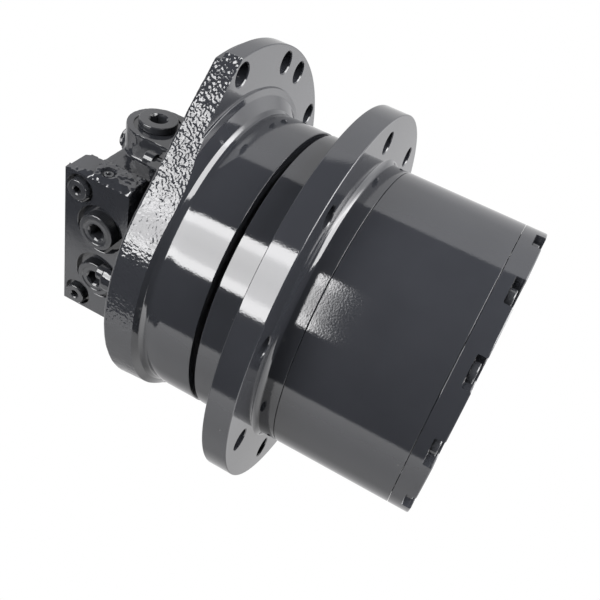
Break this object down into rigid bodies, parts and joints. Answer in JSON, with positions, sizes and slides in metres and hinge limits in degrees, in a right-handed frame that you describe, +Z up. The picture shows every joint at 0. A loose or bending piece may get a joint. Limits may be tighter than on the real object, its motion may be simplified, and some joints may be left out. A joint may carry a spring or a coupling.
{
  "type": "track drive hydraulic motor",
  "caption": "Hydraulic axial-piston track motor with a valve block, a frame flange and a planetary hub that turns a sprocket flange.",
  "frame": {"origin": "on the motor axis, in the machined back face of the frame flange", "axes": "+X along the motor axis towards the hub cover, +Z up through the top port, +Y to the right looking from the cover"},
  "size_m": [0.2763, 0.2708, 0.2816],
  "materials": {
    "enamel": "gloss charcoal enamel over castings, rough where the casting is rough",
    "fastener_paint": "semi-gloss black over socket plugs and screws",
    "gear_steel": "ground and oiled gear steel",
    "ground_steel": "ground steel",
    "cast_iron": "machined iron",
    "bronze": "lapped bronze",
    "friction": "sintered friction lining"
  },
  "bodies": {
    "frame_side": {"spindle": "enamel", "valve_body": "enamel", "top_port_plug": "fastener_paint", "side_port_plug": "fastener_paint", "upper_spool_plug": "fastener_paint", "upper_gauge_plug": "fastener_paint", "lower_spool_plug": "fastener_paint", "lower_gauge_plug": "fastener_paint", "set_screw": "fastener_paint", "valve_body_bolt_1": "fastener_paint", "valve_body_bolt_2": "fastener_paint", "valve_body_bolt_3": "fastener_paint", "valve_body_bolt_4": "fastener_paint", "valve_body_bolt_5": "fastener_paint", "valve_body_bolt_6": "fastener_paint", "valve_plate": "bronze", "shaft_bearing": "ground_steel", "fixed_seal_ring": "cast_iron", "main_bearing_inner_race_1": "ground_steel", "main_bearing_inner_race_2": "ground_steel", "fixed_planet_carrier": "cast_iron", "second_stage_pin_1": "ground_steel", "second_stage_pin_2": "ground_steel", "second_stage_pin_3": "ground_steel"},
    "hub": {"hub_housing": "enamel", "ring_gear": "enamel", "end_cover": "enamel", "rotating_seal_ring": "cast_iron", "main_bearing_outer_race_1": "ground_steel", "main_bearing_outer_race_2": "ground_steel", "level_plug": "fastener_paint", "drain_plug": "fastener_paint", "cover_bolt_01": "fastener_paint", "cover_bolt_02": "fastener_paint", "cover_bolt_03": "fastener_paint", "cover_bolt_04": "fastener_paint", "cover_bolt_05": "fastener_paint", "cover_bolt_06": "fastener_paint", "cover_bolt_07": "fastener_paint", "cover_bolt_08": "fastener_paint", "cover_bolt_09": "fastener_paint", "cover_bolt_10": "fastener_paint", "cover_bolt_11": "fastener_paint", "cover_bolt_12": "fastener_paint"},
    "rotor": {"motor_shaft": "ground_steel", "first_stage_sun": "gear_steel", "cylinder_block": "cast_iron", "piston_set": "ground_steel", "brake_disc": "friction"},
    "planet_carrier": {"first_stage_carrier": "cast_iron", "second_stage_sun": "gear_steel"},
    "counterbalance_spool": {"counterbalance_spool": "ground_steel"},
    "brake_piston": {"brake_piston": "cast_iron"},
    "swash_plate": {"swash_plate": "ground_steel"},
    "first_stage_planet_1": {"first_stage_planet_1": "gear_steel"},
    "second_stage_planet_1": {"second_stage_planet_1": "gear_steel"},
    "first_stage_planet_2": {"first_stage_planet_2": "gear_steel"},
    "second_stage_planet_2": {"second_stage_planet_2": "gear_steel"},
    "first_stage_planet_3": {"first_stage_planet_3": "gear_steel"},
    "second_stage_planet_3": {"second_stage_planet_3": "gear_steel"}
  },
  "joints": [
    {"name": "hub_spin", "type": "hinge", "parent": "frame_side", "child": "hub", "pos_m": [0.1, 0, 0], "axis": [1, 0, 0], "continuous": true},
    {"name": "shaft_spin", "type": "hinge", "parent": "frame_side", "child": "rotor", "pos_m": [0.02, 0, 0], "axis": [1, 0, 0], "continuous": true},
    {"name": "carrier_spin", "type": "hinge", "parent": "frame_side", "child": "planet_carrier", "pos_m": [0.15, 0, 0], "axis": [1, 0, 0], "continuous": true},
    {"name": "first_stage_planet_1_spin", "type": "hinge", "parent": "planet_carrier", "child": "first_stage_planet_1", "pos_m": [0.167, 0, 0.04387], "axis": [1, 0, 0], "continuous": true},
    {"name": "second_stage_planet_1_spin", "type": "hinge", "parent": "frame_side", "child": "second_stage_planet_1", "pos_m": [0.129, 0, 0.04725], "axis": [1, 0, 0], "continuous": true},
    {"name": "first_stage_planet_2_spin", "type": "hinge", "parent": "planet_carrier", "child": "first_stage_planet_2", "pos_m": [0.167, -0.038, -0.02194], "axis": [1, 0, 0], "continuous": true},
    {"name": "second_stage_planet_2_spin", "type": "hinge", "parent": "frame_side", "child": "second_stage_planet_2", "pos_m": [0.129, -0.04092, -0.02363], "axis": [1, 0, 0], "continuous": true},
    {"name": "first_stage_planet_3_spin", "type": "hinge", "parent": "planet_carrier", "child": "first_stage_planet_3", "pos_m": [0.167, 0.038, -0.02194], "axis": [1, 0, 0], "continuous": true},
    {"name": "second_stage_planet_3_spin", "type": "hinge", "parent": "frame_side", "child": "second_stage_planet_3", "pos_m": [0.129, 0.04092, -0.02363], "axis": [1, 0, 0], "continuous": true},
    {"name": "counterbalance_spool_slide", "type": "slide", "parent": "frame_side", "child": "counterbalance_spool", "axis": [0, 1, 0], "range_m": [-0.005, 0.005]},
    {"name": "brake_piston_slide", "type": "slide", "parent": "frame_side", "child": "brake_piston", "axis": [1, 0, 0], "range_m": [-0.002, 0]},
    {"name": "swash_tilt", "type": "hinge", "parent": "frame_side", "child": "swash_plate", "pos_m": [0.0445, 0, 0], "axis": [0, 1, 0], "range_deg": [-3.5, 0]}
  ],
  "couplings": [
    {"joint": "shaft_spin", "follows": "hub_spin", "ratio": -29.333},
    {"joint": "carrier_spin", "follows": "hub_spin", "ratio": -3.6667},
    {"joint": "first_stage_planet_1_spin", "follows": "hub_spin", "ratio": 11.407},
    {"joint": "second_stage_planet_1_spin", "follows": "hub_spin", "ratio": 2.75},
    {"joint": "first_stage_planet_2_spin", "follows": "hub_spin", "ratio": 11.407},
    {"joint": "second_stage_planet_2_spin", "follows": "hub_spin", "ratio": 2.75},
    {"joint": "first_stage_planet_3_spin", "follows": "hub_spin", "ratio": 11.407},
    {"joint": "second_stage_planet_3_spin", "follows": "hub_spin", "ratio": 2.75}
  ]
}
